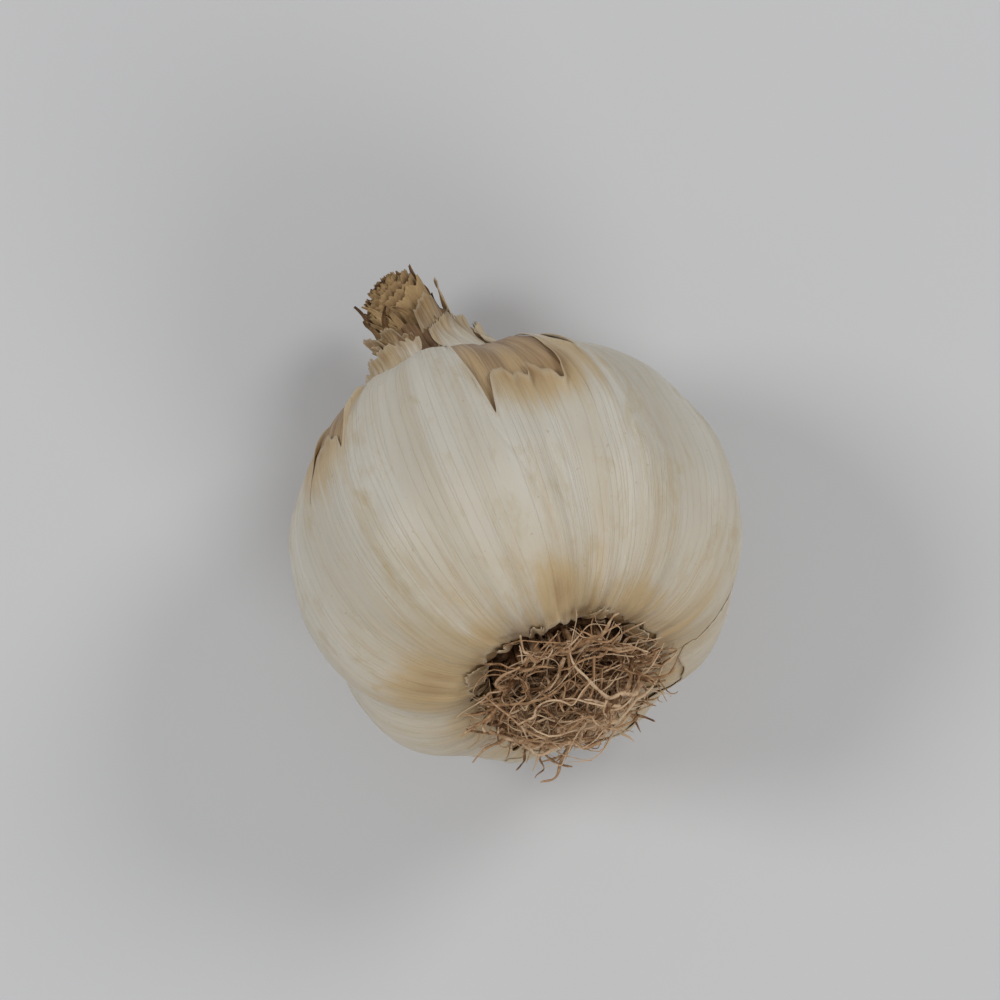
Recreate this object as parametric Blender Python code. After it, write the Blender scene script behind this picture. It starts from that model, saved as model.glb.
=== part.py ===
"""A garlic bulb as cut and dried, lying on its side on a table.

Three pieces: the bulb of cloves in its papery skin, the cut stub of rolled dry leaf
sheaths that comes out of it, and the root plate with its tuft of dried roots.

Units are metres and +Z is up. The bulb rests on z = 0 with its root end towards -Y.
Each piece is first shaped upright, in the bulb's own frame: the bulb's axis is the
frame's Z, "height" runs from the root end to the neck, and the frame's -Y becomes the
side that faces up once the bulb lies down.
"""

import math
import random

import bmesh
import bpy
from mathutils import Matrix, Vector

MM = 0.001

# Driving dimensions
BULB_WIDTH = 52 * MM
RECESS_RADIUS = 8.2 * MM
RECESS_FLOOR = 5.2 * MM
SOCKET_RADIUS = 4.05 * MM
SOCKET_FLOOR = 46.3 * MM
NECK_RADIUS = 3.7 * MM
NECK_TOP = 59 * MM
PLATE_RADIUS = 7.8 * MM
PLATE_FACE = 2.1 * MM
CLEARANCE = 0.3 * MM

# How the bulb lies: its neck points down by this angle, and its two lowest cloves are
# flattened by this depth where they press on the table
NECK_DOWN = math.radians(26)
REST_FLAT = 0.9 * MM
LOWEST_SIDE = math.radians(90)
TOP_SIDE = LOWEST_SIDE + math.pi

# The crest of the cloves from the rim of the root recess to the collar: radius and height
PROFILE = [
    (8.2 * MM, 3.2 * MM),
    (9.7 * MM, 1.1 * MM),
    (13.5 * MM, 0.0 * MM),
    (18.6 * MM, 1.8 * MM),
    (22.9 * MM, 6.2 * MM),
    (25.4 * MM, 12.4 * MM),
    (26.0 * MM, 19.2 * MM),
    (25.2 * MM, 25.8 * MM),
    (22.9 * MM, 31.8 * MM),
    (19.0 * MM, 36.8 * MM),
    (14.0 * MM, 40.6 * MM),
    (9.6 * MM, 43.6 * MM),
    (6.8 * MM, 46.8 * MM),
    (5.5 * MM, 50.0 * MM),
    (5.1 * MM, 52.4 * MM),
]
WIDEST = 6
RINGS_PER_STEP = 2
AROUND = 76

# Share of the full groove depth between cloves, at each point of PROFILE
GROOVES = [0.0, 0.9, 1.5, 1.5, 1.3, 1.1, 1.0, 1.0, 0.95, 0.85, 0.6, 0.3, 0.1, 0.0, 0.0]
# Depth of the pleats of skin, as a share of the radius, at each point of PROFILE
PLEATS = [0.0, 0.0, 0.0, 0.0, 0.0, 0.0, 0.0, 0.002, 0.005, 0.010, 0.018, 0.028, 0.035, 0.035, 0.03]

CLOVES = 9
CLOVE_REACH = 16.6 * MM
CLOVE_THICKNESS = 9.4 * MM
# How little the skin sags between cloves, and how far the whole outer skin on the side
# that faces up fills the grooves there
SKIN_TIGHTNESS = 11
TOP_SKIN_FILL = 0.4
CLOVE_TWIST = math.radians(9)
OVAL = 0.014

# The neck bends up and to the side above this height, on this radius
BEND_START = 38 * MM
BEND_RADIUS = 30 * MM
BEND_TOWARDS = math.radians(-116)

SEED = 7


def spline(values, place):
    """A value on the smooth curve through values, at a place from 0 to len(values) - 1."""
    last = len(values) - 1
    start = min(int(place), last - 1)
    share = place - start
    a, b, c, d = (values[max(0, min(last, start + k))] for k in (-1, 0, 1, 2))
    curve = (2 * a - 5 * b + 4 * c - d) * share**2 + (3 * b - a - 3 * c + d) * share**3
    return b + 0.5 * ((c - a) * share + curve)


def profile_at(place):
    """Radius and height of the crest of the cloves at a place along PROFILE."""
    return spline([r for r, _ in PROFILE], place), spline([h for _, h in PROFILE], place)


def polar(radius, angle, height):
    return Vector((radius * math.cos(angle), radius * math.sin(angle), height))


def bend(point):
    """Where a point of the straight bulb goes when the neck bends."""
    rise = point.z - BEND_START
    if rise <= 0:
        return point
    towards = polar(1, BEND_TOWARDS, 0)
    angle = rise / BEND_RADIUS
    inward = point.dot(towards)
    aside = Vector((point.x, point.y, 0)) - towards * inward
    across = BEND_RADIUS - (BEND_RADIUS - inward) * math.cos(angle)
    up = BEND_START + (BEND_RADIUS - inward) * math.sin(angle)
    return aside + towards * across + Vector((0, 0, up))


def clove_layout():
    """Angle, reach and thickness of each clove, with a groove on the lowest side."""
    draw = random.Random(SEED)
    layout = []
    for k in range(CLOVES):
        lowest = k in (0, CLOVES - 1)
        wander = 0 if lowest else draw.uniform(-0.17, 0.17)
        angle = LOWEST_SIDE + math.tau / CLOVES * (k + 0.5 + wander)
        reach = CLOVE_REACH * (1 if lowest else draw.uniform(0.955, 1.035))
        layout.append((angle, reach, CLOVE_THICKNESS * draw.uniform(0.97, 1.08)))
    return layout


def clove_outline(layout, angle):
    """Radius of the skin drawn tightly round the ring of cloves, as a share of the bulb's."""
    total = 0.0
    for centre, reach, thickness in layout:
        off = math.sin(angle - centre) * reach
        if math.cos(angle - centre) > 0 and abs(off) < thickness:
            edge = math.cos(angle - centre) * reach + math.sqrt(thickness**2 - off**2)
            total += edge**SKIN_TIGHTNESS
    return total ** (1 / SKIN_TIGHTNESS) / (CLOVE_REACH + CLOVE_THICKNESS)


def pleat_waves():
    """Waves round the neck: each has a count round the bulb, a size and a start."""
    draw = random.Random(SEED + 1)
    return [(count, draw.uniform(0.3, 1.0), draw.uniform(0, math.tau)) for count in (7, 11, 16, 19)]


def skin_point(layout, waves, angle, place):
    """A point on the bulb's skin: place runs along PROFILE, angle round the axis."""
    radius, height = profile_at(place)
    twist = CLOVE_TWIST * (height - PROFILE[WIDEST][1]) / BULB_WIDTH
    dip = 1 - clove_outline(layout, angle + twist)
    covered = 1 - TOP_SKIN_FILL * max(0, math.cos(angle - TOP_SIDE)) ** 2
    groove = spline(GROOVES, place) * covered
    pleat = sum(size * math.cos(count * angle + start) for count, size, start in waves)
    oval = OVAL * math.cos(2 * angle) * min(1, groove)
    drawn_in = 1 - groove * dip + spline(PLEATS, place) * pleat + oval
    lift = max(0, 1 - place / (WIDEST - 2)) * groove * dip * BULB_WIDTH * 0.4
    return polar(radius * drawn_in, angle, height + lift)


def material(name, colour, roughness):
    made = bpy.data.materials.new(name)
    made.use_nodes = True
    shader = made.node_tree.nodes["Principled BSDF"]
    shader.inputs["Base Color"].default_value = (*colour, 1)
    shader.inputs["Roughness"].default_value = roughness
    shader.inputs["Metallic"].default_value = 0
    return made


def solid(name, points, faces):
    """An object from points and faces, with its faces turned outward."""
    mesh = bpy.data.meshes.new(name)
    mesh.from_pydata(points, [], faces)
    made = bmesh.new()
    made.from_mesh(mesh)
    bmesh.ops.recalc_face_normals(made, faces=made.faces)
    made.to_mesh(mesh)
    made.free()
    thing = bpy.data.objects.new(name, mesh)
    bpy.context.scene.collection.objects.link(thing)
    return thing


def closed_rings(name, rings, first_pole, last_pole):
    """A closed body through rings of points, each ring in turn from one pole to the other."""
    count = len(rings[0])
    points = [first_pole, *(p for ring in rings for p in ring), last_pole]
    faces = []
    top = 1 + (len(rings) - 1) * count
    for k in range(count):
        after = (k + 1) % count
        faces.append((0, 1 + after, 1 + k))
        for low in range(1, top, count):
            faces.append((low + k, low + after, low + count + after, low + count + k))
        faces.append((top + k, top + after, len(points) - 1))
    return solid(name, points, faces)


def sheet(name, columns, rows, place_point, thickness):
    """A thin closed sheet: place_point(u, v, off) gives a point off its middle surface."""
    points = []
    for off in (thickness / 2, -thickness / 2):
        for r in range(rows):
            for c in range(columns):
                points.append(place_point(2 * c / (columns - 1) - 1, r / (rows - 1), off))
    back = rows * columns
    faces = []
    for r in range(rows - 1):
        for c in range(columns - 1):
            a = r * columns + c
            for triangle in ((a, a + 1, a + columns + 1), (a, a + columns + 1, a + columns)):
                faces.append(triangle)
                faces.append(tuple(k + back for k in reversed(triangle)))
    border = list(range(columns))
    border += [r * columns + columns - 1 for r in range(1, rows)]
    border += [(rows - 1) * columns + c for c in range(columns - 2, -1, -1)]
    border += [r * columns for r in range(rows - 2, 0, -1)]
    for a, b in zip(border, border[1:] + border[:1]):
        faces.append((b, a, a + back, b + back))
    return solid(name, points, faces)


def fuse(base, members, solver):
    """Joins every member to base with one Boolean union, then removes the members."""
    group = bpy.data.collections.new("to fuse")
    for member in members:
        bpy.context.scene.collection.objects.unlink(member)
        group.objects.link(member)
    union = base.modifiers.new("union", "BOOLEAN")
    union.operation = "UNION"
    union.operand_type = "COLLECTION"
    union.collection = group
    union.solver = solver
    bpy.context.view_layer.objects.active = base
    bpy.ops.object.modifier_apply(modifier=union.name)
    for member in members:
        bpy.data.objects.remove(member)
    bpy.data.collections.remove(group)


def collar_strip(draw, angle):
    """A torn strip of dry skin that stands on round the neck above the collar."""
    foot = 48.2 * MM
    foot_radius = 5.15 * MM
    length = draw.uniform(4.5, 8.5) * MM
    half_turn = draw.uniform(1.9, 2.9) * MM / foot_radius
    lean = draw.uniform(0.2, 1.9) * MM
    slant = draw.uniform(-0.5, 0.5)

    def place_point(u, v, off):
        radius = foot_radius + lean * v**2 + off
        around = angle + u * half_turn * (1 - 0.5 * v) + 0.25 * slant * v
        ragged = 1 - 0.16 * abs(u + slant * v)
        return bend(polar(radius, around, foot + length * v * ragged))

    return sheet("strip", 4, 4, place_point, 0.8 * MM)


def torn_flap(angle, foot, top, half_width, lift):
    """A flap of outer skin that has torn and lifts off the shoulder, from foot to top."""
    sunk = 1.5 * MM

    def place_point(u, v, off):
        place = foot + (top - foot) * v * (1 - 0.12 * u**2)
        radius, height = profile_at(place)
        radius_on, height_on = profile_at(place + 0.1)
        away = Vector((height_on - height, radius - radius_on)).normalized()
        stand = off - sunk + (lift + sunk) * v**0.8 - 0.8 * MM * u**2 * v
        around = angle + u * half_width * (1 - 0.35 * v) / radius
        return bend(polar(radius + away.x * stand, around, height + away.y * stand))

    return sheet("flap", 7, 6, place_point, 0.8 * MM)


def make_bulb():
    layout, waves = clove_layout(), pleat_waves()
    angles = [math.tau * k / AROUND for k in range(AROUND)]
    rings = [[polar(RECESS_RADIUS * share, a, RECESS_FLOOR) for a in angles] for share in (0.5, 1)]
    for k in range((len(PROFILE) - 1) * RINGS_PER_STEP + 1):
        place = k / RINGS_PER_STEP
        rings.append([bend(skin_point(layout, waves, a, place)) for a in angles])
    rim = PROFILE[-1][1]
    for height in (rim, (rim + SOCKET_FLOOR) / 2, SOCKET_FLOOR):
        rings.append([bend(polar(SOCKET_RADIUS, a, height)) for a in angles])
    poles = Vector((0, 0, RECESS_FLOOR)), bend(Vector((0, 0, SOCKET_FLOOR)))
    bulb = closed_rings("bulb", rings, *poles)

    draw = random.Random(SEED + 2)
    strips = 6
    turns = [math.tau * (k + draw.uniform(-0.25, 0.25)) / strips for k in range(strips)]
    torn = [collar_strip(draw, turn) for turn in turns]
    torn.append(torn_flap(TOP_SIDE - 0.8, 9.4, 13.0, 5.8 * MM, 3.2 * MM))
    torn.append(torn_flap(TOP_SIDE + 0.55, 10.4, 13.2, 3.4 * MM, 1.6 * MM))
    torn.append(torn_flap(TOP_SIDE + 2.0, 10.2, 12.9, 3.6 * MM, 1.9 * MM))
    fuse(bulb, torn, "MANIFOLD")
    bulb.data.materials.append(material("papery skin", (0.74, 0.69, 0.58), 0.5))
    return bulb


def make_neck():
    """The stub of leaf sheaths: one long sheath rolled round itself, fused to a solid foot."""
    draw = random.Random(SEED + 3)
    turns, core, pitch, half_wall = 2.6, 0.72 * MM, 1.02 * MM, 0.31 * MM
    around, levels = 44, 4
    foot = SOCKET_FLOOR + 3.2 * MM
    ragged = [draw.uniform(-0.6, 0.6) * MM for _ in range(around + 1)]
    walk = [(k, 1) for k in range(around + 1)] + [(k, -1) for k in range(around, -1, -1)]
    points = []
    for level in range(levels + 1):
        for k, side in walk:
            angle = math.tau * turns * k / around
            radius = core + pitch * turns * k / around + side * half_wall
            cut = NECK_TOP + ragged[k] + 0.3 * radius * math.cos(angle - 0.6)
            points.append(bend(polar(radius, angle, foot + (cut - foot) * level / levels)))
    count = len(walk)
    top = levels * count
    faces = []
    for low in range(0, top, count):
        for k in range(count):
            after = (k + 1) % count
            faces.append((low + k, low + after, low + count + after, low + count + k))
    for k in range(around):
        faces.append((top + k, top + k + 1, top + count - 2 - k, top + count - 1 - k))
        faces.append((k + 1, k, count - 1 - k, count - 2 - k))
    roll = solid("roll", points, faces)

    low, high = SOCKET_FLOOR + CLEARANCE, foot + 1.5 * MM
    angles = [math.tau * k / 28 for k in range(28)]
    heights = (low, (low + high) / 2, high)
    rings = [[bend(polar(NECK_RADIUS, a, h)) for a in angles] for h in heights]
    neck = closed_rings("neck", rings, bend(Vector((0, 0, low))), bend(Vector((0, 0, high))))
    fuse(neck, [roll], "EXACT")
    neck.data.materials.append(material("dry leaf sheath", (0.34, 0.20, 0.10), 0.75))
    return neck


def root_path(draw, angle, start_radius):
    """Points down the middle of one root, from inside the plate out to its tip."""
    steps = 5
    length = draw.uniform(7.5, 12.5) * MM
    lean = math.radians(6 + 26 * start_radius / PLATE_RADIUS)
    droop = math.radians(draw.uniform(8, 22))
    heading = angle + draw.uniform(-0.6, 0.6)
    turn = draw.uniform(-0.55, 0.55)
    point = polar(start_radius, angle, PLATE_FACE + 2 * MM)
    path = [point]
    for _ in range(steps):
        along = polar(math.sin(lean), heading, -math.cos(lean))
        point = point + along * (length / steps)
        if math.hypot(point.x, point.y) > PLATE_RADIUS - 0.8 * MM:
            point.z = min(point.z, -0.95 * MM)
        path.append(point)
        heading += turn
        lean = min(lean + droop, math.radians(98))
    return path


def root_tube(path, thickness):
    """A three-sided root that tapers to its tip."""
    rings = []
    last = len(path) - 1
    for k, centre in enumerate(path):
        along = (path[min(k + 1, last)] - path[max(k - 1, 0)]).normalized()
        across = along.cross(Vector((0.31, 0.17, 0.93))).normalized()
        other = along.cross(across)
        radius = thickness / 2 * (1 - 0.5 * k / last)
        corners = [math.tau * s / 3 for s in range(3)]
        rings.append([centre + (across * math.cos(c) + other * math.sin(c)) * radius for c in corners])
    return closed_rings("root", rings, path[0], path[-1])


def make_roots():
    """The root plate, with roots in rings over its face, closer together near its edge."""
    draw = random.Random(SEED + 5)
    angles = [math.tau * k / 32 for k in range(32)]
    back = RECESS_FLOOR - CLEARANCE
    side = PLATE_FACE + 0.6 * MM
    outline = [(0.5, back), (1, back), (1, side), (0.86, PLATE_FACE), (0.5, PLATE_FACE + 0.5 * MM)]
    rings = [[polar(PLATE_RADIUS * share, a, height) for a in angles] for share, height in outline]
    poles = Vector((0, 0, back)), Vector((0, 0, PLATE_FACE + 0.9 * MM))
    plate = closed_rings("roots", rings, *poles)
    tuft = []
    for count, share in ((27, 0.84), (22, 0.66), (15, 0.46), (8, 0.25)):
        for k in range(count):
            angle = math.tau * (k + draw.uniform(-0.35, 0.35)) / count
            path = root_path(draw, angle, PLATE_RADIUS * share * draw.uniform(0.95, 1.05))
            tuft.append(root_tube(path, draw.uniform(0.85, 1.2) * MM))
    fuse(plate, tuft, "MANIFOLD")
    plate.data.materials.append(material("dried root", (0.30, 0.18, 0.10), 0.85))
    return plate


def flatten_onto_table(thing, turn, table):
    """Presses the part of a mesh that would reach below the table flat against it."""
    back = turn.inverted()
    for vertex in thing.data.vertices:
        placed = turn @ vertex.co
        if placed.z < table:
            placed.z = table
            vertex.co = back @ placed


def main():
    for old in list(bpy.data.objects):
        bpy.data.objects.remove(old)
    bulb, neck, roots = make_bulb(), make_neck(), make_roots()
    pieces = (bulb, neck, roots)
    lie_down = Matrix.Rotation(-(math.pi / 2 + NECK_DOWN), 4, "X")
    table = min((lie_down @ v.co).z for v in bulb.data.vertices) + REST_FLAT
    flatten_onto_table(bulb, lie_down, table)
    placed = [lie_down @ v.co for thing in pieces for v in thing.data.vertices]
    middle = [(min(p[k] for p in placed) + max(p[k] for p in placed)) / 2 for k in (0, 1)]
    axis = bpy.data.objects.new("bulb_axis", None)
    bpy.context.scene.collection.objects.link(axis)
    axis.matrix_world = Matrix.Translation((-middle[0], -middle[1], -table)) @ lie_down
    for thing in pieces:
        thing.parent = axis
        thing.data.shade_smooth()
        thing.data.set_sharp_from_angle(angle=math.radians(50))


main()
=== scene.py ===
import math
import random

import bpy
import numpy as np
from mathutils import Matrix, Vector


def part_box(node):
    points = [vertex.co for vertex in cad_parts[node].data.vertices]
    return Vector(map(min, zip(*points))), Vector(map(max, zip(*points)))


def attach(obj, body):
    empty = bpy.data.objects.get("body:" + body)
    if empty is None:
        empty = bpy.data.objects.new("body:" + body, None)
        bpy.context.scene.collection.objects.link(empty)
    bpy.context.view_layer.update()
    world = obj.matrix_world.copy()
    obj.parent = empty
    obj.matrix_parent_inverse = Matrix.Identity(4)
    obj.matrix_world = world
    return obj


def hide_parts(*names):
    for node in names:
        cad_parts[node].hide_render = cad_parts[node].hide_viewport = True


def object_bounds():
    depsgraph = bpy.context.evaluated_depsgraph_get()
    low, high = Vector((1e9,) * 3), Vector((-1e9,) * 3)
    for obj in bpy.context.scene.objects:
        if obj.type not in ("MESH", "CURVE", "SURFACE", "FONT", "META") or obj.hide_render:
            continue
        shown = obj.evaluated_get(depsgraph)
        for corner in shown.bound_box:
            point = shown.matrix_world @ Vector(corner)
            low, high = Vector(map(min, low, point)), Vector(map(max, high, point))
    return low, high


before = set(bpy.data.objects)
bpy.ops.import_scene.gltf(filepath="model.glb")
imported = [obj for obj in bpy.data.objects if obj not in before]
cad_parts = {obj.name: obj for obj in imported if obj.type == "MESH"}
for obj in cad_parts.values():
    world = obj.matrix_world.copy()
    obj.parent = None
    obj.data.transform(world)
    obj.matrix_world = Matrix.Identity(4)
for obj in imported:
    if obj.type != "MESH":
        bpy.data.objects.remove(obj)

CAD_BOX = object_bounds()
MM = 0.001

# Driving dimensions and rules of form, as in the part's source
BULB_WIDTH = 52 * MM
RECESS_RADIUS = 8.2 * MM
RECESS_FLOOR = 5.2 * MM
SOCKET_RADIUS = 4.05 * MM
SOCKET_FLOOR = 46.3 * MM
NECK_RADIUS = 3.7 * MM
NECK_TOP = 59 * MM
PLATE_RADIUS = 7.8 * MM
PLATE_FACE = 2.1 * MM
NECK_DOWN = math.radians(26)
REST_FLAT = 0.9 * MM
LOWEST_SIDE = math.radians(90)
TOP_SIDE = LOWEST_SIDE + math.pi
PROFILE = [
    (8.2, 3.2), (9.7, 1.1), (13.5, 0.0), (18.6, 1.8), (22.9, 6.2), (25.4, 12.4), (26.0, 19.2), (25.2, 25.8),
    (22.9, 31.8), (19.0, 36.8), (14.0, 40.6), (9.6, 43.6), (6.8, 46.8), (5.5, 50.0), (5.1, 52.4),
]
RADII = [r * MM for r, _ in PROFILE]
HEIGHTS = [h * MM for _, h in PROFILE]
COLLAR = len(PROFILE) - 1
WIDEST = 6
GROOVES = [0.0, 0.9, 1.5, 1.5, 1.3, 1.1, 1.0, 1.0, 0.95, 0.85, 0.6, 0.3, 0.1, 0.0, 0.0]
PLEATS = [0.0, 0.0, 0.0, 0.0, 0.0, 0.0, 0.0, 0.002, 0.005, 0.010, 0.018, 0.028, 0.035, 0.035, 0.03]
CLOVES = 9
CLOVE_REACH = 16.6 * MM
CLOVE_THICKNESS = 9.4 * MM
SKIN_TIGHTNESS = 11
TOP_SKIN_FILL = 0.4
CLOVE_TWIST = math.radians(9)
OVAL = 0.014
BEND_START = 38 * MM
BEND_RADIUS = 30 * MM
BEND_TOWARDS = math.radians(-116)
ROOT_RINGS = ((27, 0.84), (22, 0.66), (15, 0.46), (8, 0.25))
SEED = 7
CAD_AROUND = 76
CAD_RINGS_PER_STEP = 2

# The skin's outer layers: how far out they lie, their thickness, and what the bulb's weight leaves of it
OUTER_SKIN_OUT = 0.17 * MM
OUTER_SKIN_THICKNESS = 0.1 * MM
LAST_LAYER_OUT = 0.31 * MM
LAST_LAYER_THICKNESS = 0.09 * MM
PRESSED_SKIN = 0.04 * MM

# Tears in the outer skin round the neck: turn from the top, half width, depth, and the share of the
# half width that the sides take, small for a strip and 1 for a point
TEARS = [
    (0.30, 0.28, 4.9, 0.3),
    (0.68, 0.18, 4.2, 1),
    (-0.82, 0.26, 4.6, 0.4),
    (-1.25, 0.16, 3.4, 1),
    (2.5, 0.45, 2.4, 0.5),
]

# Patches of dry skin, where the first two, on the upper shoulder by the neck, are also painted shade: turn
# from the top, half width, place along the profile, half length and strength
DRIED_AND_SHADED_PATCHES = [
    (0.4, 0.34, 7.6, 1.3, 1.0),
    (-0.88, 0.32, 8.6, 1.7, 1.0),
    (2.1, 0.4, 9.6, 1.2, 1.0),
    (-2.5, 0.5, 9.0, 1.0, 1.0),
    (0.15, 0.20, 2.6, 0.8, 0.75),
    (-0.5, 0.16, 2.3, 0.6, 0.65),
    (-1.2, 0.36, 2.6, 1.0, 0.8),
    (0.9, 0.3, 2.3, 0.6, 0.6),
]

# How many there are of each small piece
SMALL_FLAPS = 9
RIM_SCRAPS = 17
BROAD_STRIPS = 6
NARROW_STRIPS = 8
SHEATHS = 7
SPLINTERS = 22
FINE_ROOTS = 230
STOUT_CROSSING_ROOTS = 8
THIN_CROSSING_ROOTS = 105

# The camera looks almost straight down, with the neck up and to the left
CAMERA_AZIMUTH = math.radians(-20)
CAMERA_ELEVATION = math.radians(81)
CAMERA_DISTANCE = 0.8
FRAME_WIDTH = 0.118

# Soft white lamps, each with its place, its width in metres and its power in watts
LAMPS = {
    "left_lamp": ((-0.7, 0.3, 0.85), 0.4, 3.5),
    "right_lamp": ((0.75, 0.2, 0.8), 0.4, 2.9),
    "root_lamp": ((0.15, -0.85, 0.65), 0.5, 2.6),
}
LAMP_COLOUR = (1.0, 0.995, 0.985)
ROOM_LIGHT = 0.35


# Shape rules

def spline(values, place):
    """Values on the smooth curve through a list, at places from 0 to its length less 1."""
    values, place = np.asarray(values, float), np.asarray(place, float)
    last = len(values) - 1
    start = np.clip(place.astype(int), 0, last - 1)
    share = place - start
    a, b, c, d = (values[np.clip(start + k, 0, last)] for k in (-1, 0, 1, 2))
    curve = (2 * a - 5 * b + 4 * c - d) * share**2 + (3 * b - a - 3 * c + d) * share**3
    return b + 0.5 * ((c - a) * share + curve)


def stack(x, y, z):
    return np.stack(np.broadcast_arrays(x, y, z), axis=-1).astype(float)


def polar(radius, angle, height):
    return stack(radius * np.cos(angle), radius * np.sin(angle), height)


def bend(points):
    """Where points of the straight bulb go when the neck bends."""
    rise = np.maximum(points[..., 2] - BEND_START, 0)
    towards = np.array([math.cos(BEND_TOWARDS), math.sin(BEND_TOWARDS), 0])
    inward = points @ towards
    angle = rise / BEND_RADIUS
    across = BEND_RADIUS - (BEND_RADIUS - inward) * np.cos(angle)
    up = BEND_START + (BEND_RADIUS - inward) * np.sin(angle)
    bent = points + (across - inward)[..., None] * towards
    bent[..., 2] = np.where(rise > 0, up, points[..., 2])
    return bent


def clove_layout():
    draw = random.Random(SEED)
    layout = []
    for k in range(CLOVES):
        lowest = k in (0, CLOVES - 1)
        wander = 0 if lowest else draw.uniform(-0.17, 0.17)
        angle = LOWEST_SIDE + math.tau / CLOVES * (k + 0.5 + wander)
        reach = CLOVE_REACH * (1 if lowest else draw.uniform(0.955, 1.035))
        layout.append((angle, reach, CLOVE_THICKNESS * draw.uniform(0.97, 1.08)))
    return layout


def pleat_waves():
    draw = random.Random(SEED + 1)
    return [(count, draw.uniform(0.3, 1.0), draw.uniform(0, math.tau)) for count in (7, 11, 16, 19)]


LAYOUT = clove_layout()
WAVES = pleat_waves()


def clove_outline(angle):
    total = np.zeros(np.shape(angle))
    for centre, reach, thickness in LAYOUT:
        off = np.sin(angle - centre) * reach
        near = (np.cos(angle - centre) > 0) & (np.abs(off) < thickness)
        edge = np.cos(angle - centre) * reach + np.sqrt(np.maximum(thickness**2 - off**2, 0))
        total += np.where(near, np.maximum(edge, 0) ** SKIN_TIGHTNESS, 0)
    return total ** (1 / SKIN_TIGHTNESS) / (CLOVE_REACH + CLOVE_THICKNESS)


def skin_radius_height(angle, place):
    """Radius and height of the bulb's skin, before fine creases and the bend of the neck."""
    radius, height = spline(RADII, place), spline(HEIGHTS, place)
    twist = CLOVE_TWIST * (height - HEIGHTS[WIDEST]) / BULB_WIDTH
    dip = 1 - clove_outline(angle + twist)
    covered = 1 - TOP_SKIN_FILL * np.maximum(0, np.cos(angle - TOP_SIDE)) ** 2
    groove = spline(GROOVES, place) * covered
    pleat = sum(size * np.cos(count * angle + start) for count, size, start in WAVES)
    oval = OVAL * np.cos(2 * angle) * np.minimum(1, groove)
    drawn_in = 1 - groove * dip + spline(PLEATS, place) * pleat + oval
    lift = np.maximum(0, 1 - place / (WIDEST - 2)) * groove * dip * BULB_WIDTH * 0.4
    return radius * drawn_in, height + lift


def profile_way_out(place):
    """The way out of the skin at a place along the profile, as shares of radius and height."""
    step = 0.05
    low, high = np.maximum(place - step, 0), np.minimum(place + step, COLLAR)
    out_r = spline(HEIGHTS, high) - spline(HEIGHTS, low)
    out_h = spline(RADII, low) - spline(RADII, high)
    length = np.hypot(out_r, out_h)
    return out_r / length, out_h / length


def field(points, size, seed, waves=10):
    """A smooth random field, mostly from -1 to 1, with bumps about size across."""
    draw = np.random.default_rng(seed)
    ways = draw.normal(size=(waves, 3))
    ways /= np.linalg.norm(ways, axis=1)[:, None]
    pace = math.pi / size * draw.uniform(0.6, 1.5, waves)
    phases = draw.uniform(0, math.tau, waves)
    return np.sin(points @ (ways * pace[:, None]).T + phases).sum(axis=-1) * 1.3 / math.sqrt(waves)


def along_lines(angle, place, counts, seed, wander=0.5):
    """A random field of lines that run along the bulb, about counts of them round it."""
    draw = np.random.default_rng(seed)
    total = np.zeros(np.broadcast(angle, place).shape)
    for count in counts:
        start, turn, pace = draw.uniform(0, math.tau, 3)
        total += np.cos(count * angle + start + wander * np.sin(place * (0.4 + 0.2 * pace) + turn))
    return total / math.sqrt(len(counts))


def ramp(low, high, value):
    share = np.clip((value - low) / (high - low), 0, 1)
    return share * share * (3 - 2 * share)


def crease_depth(angle, place, smooth):
    """How far fine creases and dents move the skin out, in metres."""
    dents = 0.20 * MM * field(smooth, 11 * MM, 21) + 0.07 * MM * field(smooth, 4.5 * MM, 22)
    body = 0.035 * MM * along_lines(angle, place, (23, 31, 43, 59, 71), 23)
    at_neck = ramp(8, 12.5, place)
    at_base = 1 - ramp(0.8, 3.4, place)
    near_neck = 0.16 * MM * at_neck * along_lines(angle, place, (21, 29, 37, 47), 24, 1.2)
    near_base = 0.17 * MM * at_base * along_lines(angle, place, (24, 33, 41, 57), 25, 0.8)
    line = along_lines(angle, place, (5, 8, 13), 26, 1.3)
    folded = ramp(-0.2, 0.9, field(smooth, 16 * MM, 27))
    fold = -0.13 * MM * np.maximum(0, 1 - np.abs(line) / 0.16) * folded
    return dents * ramp(0, 1.5, place) * (1 - 0.6 * at_neck) + body + near_neck + near_base + fold


def turn_from(angle, centre):
    """The turn from one angle to another, the short way round."""
    return (angle - centre + math.pi) % math.tau - math.pi


def dried_and_shaded(angle, place):
    """How dry the skin is, near the neck and round the root plate, from 0 to 1; on the upper shoulder by
    the neck it is also painted shade.
    """
    total = np.zeros(np.broadcast(angle, place).shape)
    for side, half_width, centre, half_length, strength in DRIED_AND_SHADED_PATCHES:
        off = turn_from(angle, TOP_SIDE + side)
        away = -((off / half_width) ** 2) - ((place - centre) / half_length) ** 2
        total = total + strength * np.exp(away)
    return np.minimum(total, 1)


def skin(angle, place, out=0.0):
    """Points on the straight bulb's skin, or a distance out from it."""
    radius, height = skin_radius_height(angle, place)
    way_r, way_h = profile_way_out(place)
    move = out + crease_depth(angle, place, polar(radius, angle, height))
    return polar(radius + way_r * move, angle, height + way_h * move)


# Placing: the bulb lies down as the part does, found from the box of its own node

TURN = -(math.pi / 2 + NECK_DOWN)
LIE_DOWN = np.array([
    [1, 0, 0],
    [0, math.cos(TURN), -math.sin(TURN)],
    [0, math.sin(TURN), math.cos(TURN)],
])


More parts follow.
